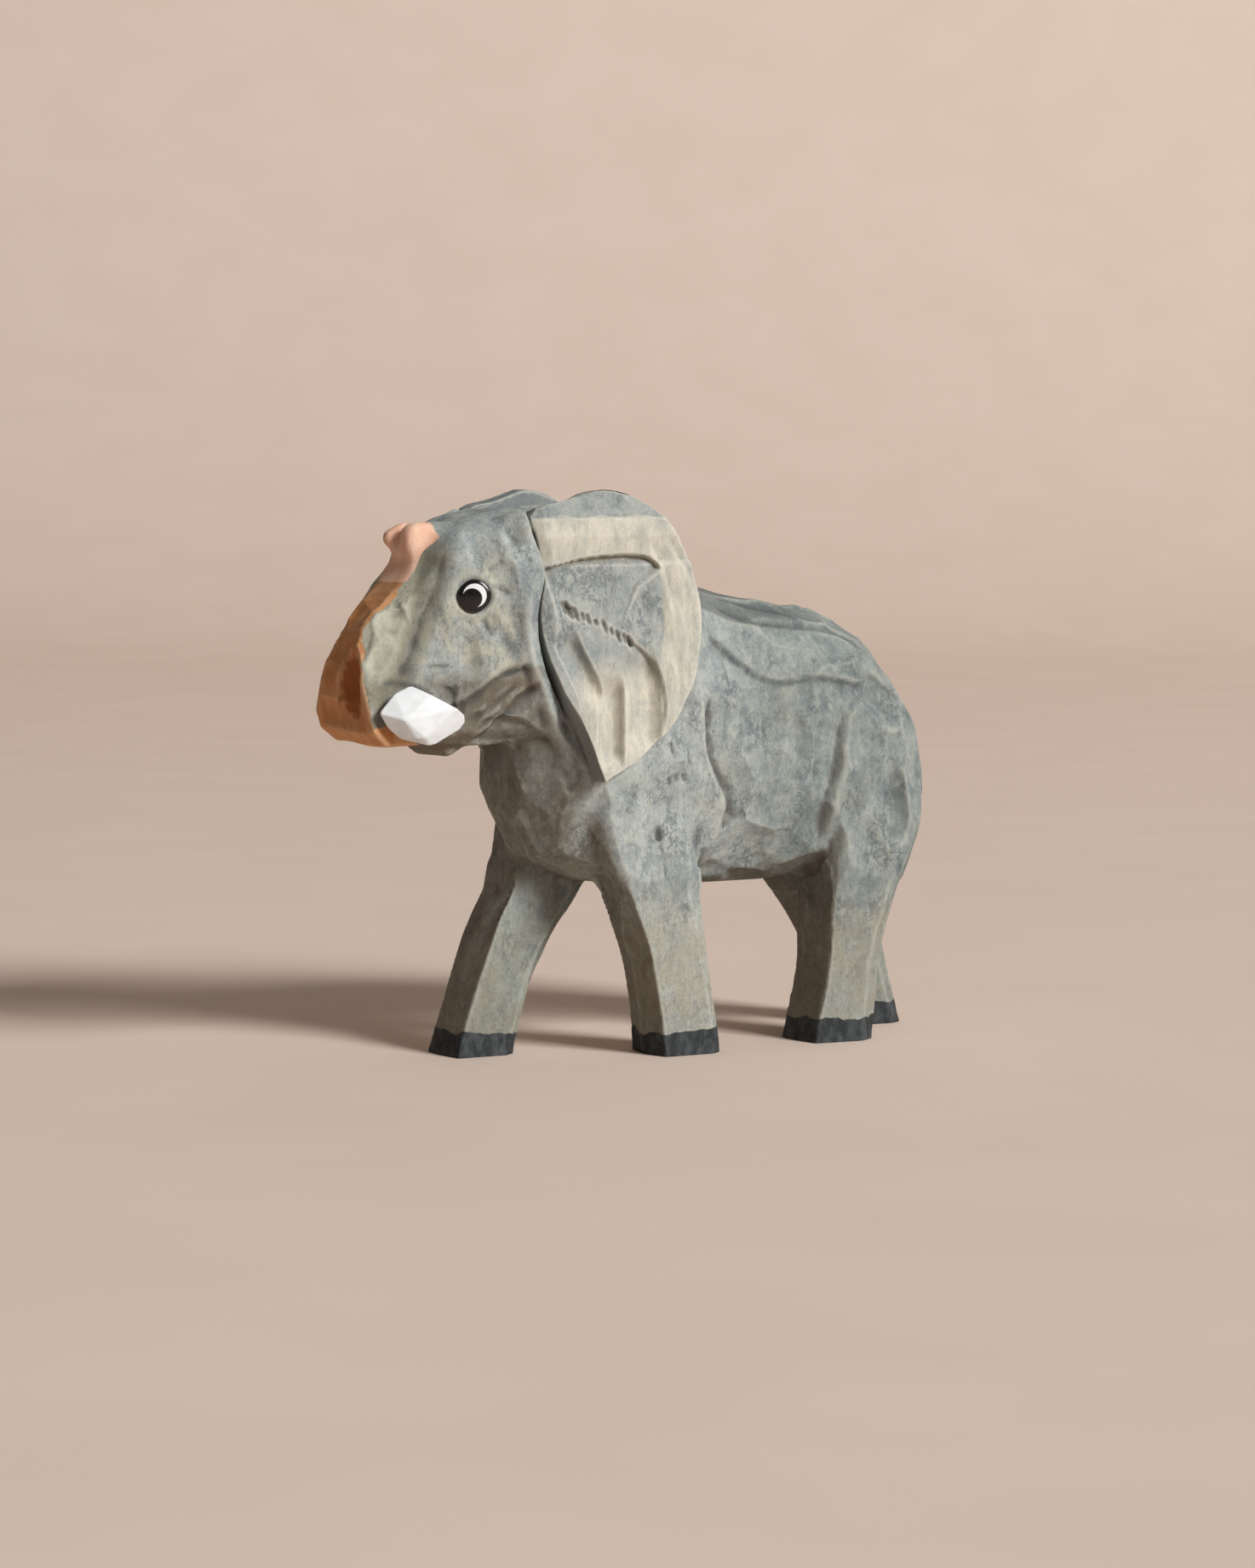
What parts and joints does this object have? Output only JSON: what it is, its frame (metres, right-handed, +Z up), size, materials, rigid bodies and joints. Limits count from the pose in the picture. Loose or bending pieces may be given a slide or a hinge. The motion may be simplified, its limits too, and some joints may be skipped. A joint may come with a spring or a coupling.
{
  "type": "carved wooden elephant figurine",
  "caption": "Hand-carved painted wooden elephant in mid stride, trunk folded up to its forehead, with inset ears, tusks and eyes.",
  "frame": {"origin": "on the ground under the middle of the bounding box", "axes": "+Z up, the face looks along -Y, the animal's own left is +X"},
  "size_m": [0.0404, 0.114, 0.094],
  "materials": {
    "body_wash": "blue-grey wash over pale carved wood, charcoal hooves, orange-brown inner trunk",
    "ear_wash": "cream wash with grey rubbed into the carved lobe",
    "tusk_paint": "white satin paint on faceted wood",
    "eye_gloss": "gloss black with a white crescent",
    "dowel_wood": "bare turned wood"
  },
  "bodies": {
    "root": {"carved_body": "body_wash", "left_ear": "ear_wash", "right_ear": "ear_wash", "left_ear_dowel": "dowel_wood", "right_ear_dowel": "dowel_wood", "left_tusk": "tusk_paint", "right_tusk": "tusk_paint", "left_eye": "eye_gloss", "right_eye": "eye_gloss", "tail": "body_wash"}
  },
  "joints": []
}
